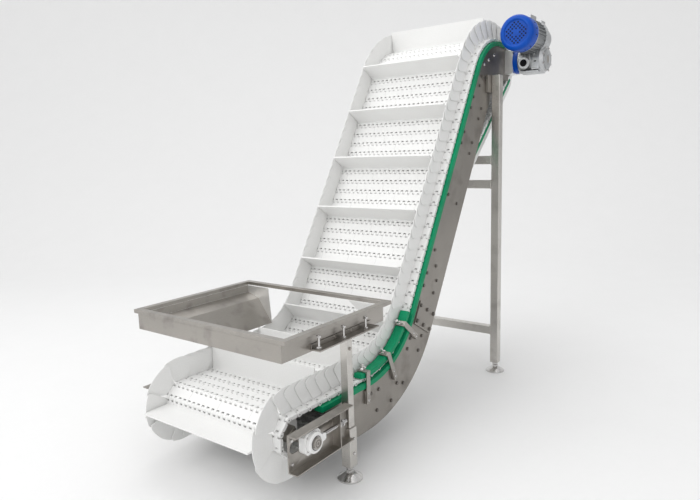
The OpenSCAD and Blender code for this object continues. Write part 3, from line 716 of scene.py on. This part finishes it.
# ------------------------------------------------------------------ take-up, legs, feet and hopper
def takeup_details():
    b, dark, white = Build(), Build(), Build()
    takeup_y = 345
    for side in (-1, 1):
        y = side * (takeup_y + 47)
        out = (0, side, 0)
        lo, hi = sorted((side * takeup_y, side * (takeup_y + 26)))
        corner = [(x * (38 - c), z * (36 - 12 + c)) for x, z, c in
                  ((1, 1, 0), (1, 1, 12), (-1, 1, 12), (-1, 1, 0), (-1, -1, 0), (-1, -1, 12), (1, -1, 12), (1, -1, 0))]
        white.prism([(x, TAIL_Z + z) for x, z in corner], lo, hi)
        lo, hi = sorted((side * takeup_y, side * (takeup_y + 34)))
        white.prism([(20, TAIL_Z - 15), (50, TAIL_Z - 12), (56, TAIL_Z - 8), (56, TAIL_Z + 8), (50, TAIL_Z + 12),
                     (20, TAIL_Z + 15)], lo, hi)
        white.lathe([(0, 0), (34, 0), (34, 12), (31, 15), (23, 15), (23, 6), (0, 6)], (0, side * (takeup_y + 26), TAIL_Z), out, 48)
        hub = (0, side * (takeup_y + 32), TAIL_Z)
        dark.lathe([(17.8, 0), (22.5, 0), (22.5, 5), (21, 7), (17.8, 7), (17.8, 0)], hub, out, 40)
        b.lathe([(17.9, 7), (20, 7), (20, 9), (17.9, 9), (17.9, 7)], hub, out, 40)
        end = (0, side * (takeup_y + 47), TAIL_Z)
        dark.lathe([(9, -0.5), (13, -0.5), (13, 0.4), (9, 0.4), (9, -0.5)], end, out, 32)
        dark.lathe([(0, -0.5), (4.5, -0.5), (4.5, 0.4), (0, 0.4)], end, out, 20)
        for a in (45, 135, 225, 315):
            p = ray(a) * 39
            b.dome((p[0] * 1.0, side * (takeup_y + 26), TAIL_Z + p[1] * 0.8), out, 4)
        for x in (134, 150):
            b.lathe([(0, 0), (12, 0), (12, 10), (0, 10)], (x, side * (takeup_y + 20), TAIL_Z), (1, 0, 0), 6)
        b.rod((130, side * (takeup_y + 20), TAIL_Z), (176, side * (takeup_y + 20), TAIL_Z), 7)
        for x, z in ((-72, 185), (-72, 262), (100, 262), (166, 180)):
            b.bolt((x, side * takeup_y, z), out, 6)
        for k in range(24):
            x = 50 + k * 3.3
            dark.lathe([(6.4, -0.5), (7.4, 0), (6.4, 0.5), (6.4, -0.5)], (x, side * (takeup_y + 20), TAIL_Z), (1, 0, 0), 16)
    b.done("takeup_fasteners", "bright")
    dark.done("takeup_threads", "dark")
    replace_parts(white.done("bearing_housings", "bearing", 1.5), "takeup_bearings")


takeup_details()


def leg_details():
    b, welds = Build(), Build()
    for side in (-1, 1):
        for x in (FRONT_LEG_X, REAR_LEG_X):
            c = (x, side * LEG_Y, 0)
            b.lathe([(0, 24), (14, 24), (14, 33), (11, 35), (0, 35)], c, (0, 0, 1), 6)
            b.lathe([(0, 36.5), (14, 36.5), (14, 45.5), (0, 45.5)], c, (0, 0, 1), 6, 0.4)
            for k in range(9):
                z = 25 + 1.3 * k
                b.lathe([(8, z - 0.4), (8.6, z), (8, z + 0.4), (8, z - 0.4)], c, (0, 0, 1), 20)
        for x, z in ((FRONT_LEG_X, 96), (FRONT_LEG_X, 150)):
            b.bolt((x, side * (LEG_Y + 20), z), (0, side, 0), 6)
        for x, z in ((REAR_LEG_X - 44, 1440), (REAR_LEG_X - 44, 1395)):
            b.bolt((x, side * PLATE_Y, z), (0, side, 0), 7)
        for z in (212, 943, 1060):
            for dz in (-20, 20):
                welds.rod((REAR_LEG_X - 20, side * (LEG_Y - 20.5), z + dz), (REAR_LEG_X + 20, side * (LEG_Y - 20.5), z + dz), 2.2, 8)
    b.done("leg_fasteners", "bright")
    welds.done("leg_welds", "steel")


leg_details()


def hopper_plates():
    """Skirts under the rim, the far side's folded slope, the gussets at the open end and the angles."""
    top, low, t = 558, 501, 3
    near, far, far_low = -(LEG_Y - 15.3), 387, 530
    x0, x1 = -70, 474
    b = Build()
    b.box((x0 - t, near, low), (x0, far, top))
    b.box((x0, near, low), (x1, near + t, top))
    b.box((x0, far - t, far_low), (x1, far, top))
    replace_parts(b.done("hopper_skirt_plates", "steel", 0.5), "hopper_skirts")
    b = Build()
    line = [(x0, x1, far - t, far_low), (x0, x1, 322, 509), (x0 + 190, x1, 250, 410)]
    verts = [(x, y, z - drop) for drop in (0, 2) for x0, x1, y, z in line for x in (x0, x1)]
    b.add(verts, [(0, 1, 3, 2), (2, 3, 5, 4), (6, 8, 9, 7), (8, 10, 11, 9), (0, 6, 7, 1), (4, 5, 11, 10),
                  (0, 2, 8, 6), (2, 4, 10, 8), (1, 7, 9, 3), (3, 9, 11, 5)])
    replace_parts(b.done("hopper_slope_plate", "steel", 0.5), "hopper_slopes")
    b = Build()
    x1 = 474
    for outline in ([(far, top), (far, far_low), (322, 507), (250, 408), (262, top)],
                    [(near, top), (near, low), (near + 60, low - 14), (-165, top)]):
        n = len(outline)
        verts = [(x, y, z) for x in (x1, x1 + t) for y, z in outline]
        b.add(verts, [(i, (i + 1) % n, n + (i + 1) % n, n + i) for i in range(n)] + [tuple(range(n)), tuple(range(n, 2 * n))])
    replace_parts(b.done("hopper_gusset_plates", "silver", 0.5), "hopper_gussets")
    b = Build()
    b.box((60, near - 40, 506), (388, near - 0.3, 511))
    b.box((60, near - 5.3, 511), (388, near - 0.3, 526))
    b.box((60, 354.3, 480), (388, 359.3, 505))
    b.box((60, 359.3, 500), (388, 363, 505))
    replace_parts(b.done("hopper_angles", "steel", 0.6), "hopper_brackets")


hopper_plates()


def hopper_details():
    b, bolts = Build(), Build()
    side_y, angle_z = LEG_Y - 15.3, 506
    x0 = -73
    for side in (-1, 1):
        for x in (76, 204, 330):
            if side > 0:
                break
            y = side * (side_y + 22)
            b.rod((x, y, angle_z + 5), (x, y, angle_z + 50), 4.2, 12)
            b.lathe([(0, 5), (8.5, 5), (8.5, 12), (0, 12)], (x, y, angle_z), (0, 0, 1), 6)
            b.lathe([(0, 0), (8.5, 0), (8.5, 6), (0, 6)], (x, y, angle_z + 42), (0, 0, 1), 6)
        for x in (100, 180, 268, 350):
            if side < 0:
                bolts.bolt((x, side * (side_y + 5.3), angle_z + 12.5), (0, side, 0), 4.5, washer=False)
        bolts.bolt((FRONT_LEG_X, side * (LEG_Y + 15), 470), (0, side, 0), 6)
    welds = Build()
    for x in (x0 + 1.5,):
        for side in (-1, 1):
            welds.rod((x, side * (side_y - 1), 502), (x, side * (side_y - 1), 557), 2.0, 8)
    b.done("hopper_studs", "bright")
    bolts.done("hopper_bolts", "steel")
    welds.done("hopper_welds", "steel")


hopper_details()


# ------------------------------------------------------------------ floor, light
def studio():
    """A seamless paper sweep, a broad soft light from the left, and weak fill."""
    look = Vector((math.cos(math.radians(36.9)), math.sin(math.radians(36.9)), 0))
    across = Vector((-look.y, look.x, 0))
    profile = [(-9.0, 0.0), (3.6, 0.0)]
    radius = 4.0
    profile += [(3.6 + radius * math.sin(a), radius - radius * math.cos(a)) for a in np.linspace(0, math.pi / 2, 25)[1:]]
    profile += [(3.6 + radius, 12.0)]
    verts = [tuple(look * d + across * w + Vector((0, 0, h - 0.0005))) for d, h in profile for w in (-12, 12)]
    faces = [(2 * i, 2 * i + 1, 2 * i + 3, 2 * i + 2) for i in range(len(profile) - 1)]
    mesh = bpy.data.meshes.new("paper_sweep")
    mesh.from_pydata(verts, [], faces)
    mesh.shade_smooth()
    sweep = bpy.data.objects.new("paper_sweep", mesh)
    scene.collection.objects.link(sweep)
    mesh.materials.append(material("paper", (0.84, 0.84, 0.84), 0.95, vary=0.008, bump=0.0))
    world = bpy.data.worlds.new("studio")
    scene.world = world
    world.use_nodes = True
    tree = world.node_tree
    coord = tree.nodes.new("ShaderNodeTexCoord")
    split = tree.nodes.new("ShaderNodeVectorMath")
    split.operation = "DOT_PRODUCT"
    split.inputs[1].default_value = (-0.75, 0.55, 0.35)
    tree.links.new(coord.outputs["Generated"], split.inputs[0])
    sky = tree.nodes.new("ShaderNodeMapRange")
    sky.inputs["From Min"].default_value = -0.9
    sky.inputs["From Max"].default_value = 0.7
    sky.inputs["To Min"].default_value = 0.42
    sky.inputs["To Max"].default_value = 1.15
    tree.links.new(split.outputs["Value"], sky.inputs["Value"])
    tree.links.new(sky.outputs[0], tree.nodes["Background"].inputs[0])
    tree.nodes["Background"].inputs[1].default_value = 0.95

    def area(name, at, to, size, power):
        data = bpy.data.lights.new(name, "AREA")
        data.shape = "DISK"
        data.size = size
        data.energy = power
        lamp = bpy.data.objects.new(name, data)
        lamp.location = at
        lamp.rotation_euler = (Vector(to) - Vector(at)).to_track_quat("-Z", "Y").to_euler()
        scene.collection.objects.link(lamp)
    centre = (0.6, 0.34, 0.7)
    area("key", (-3.4, 1.6, 4.0), centre, 3.2, 60)
    area("fill", (-1.6, -4.2, 2.4), centre, 3.0, 14)
    area("top", (1.4, 1.0, 5.2), centre, 3.6, 50)
    scene.view_settings.view_transform = "Standard"
    scene.view_settings.look = "None"


studio()
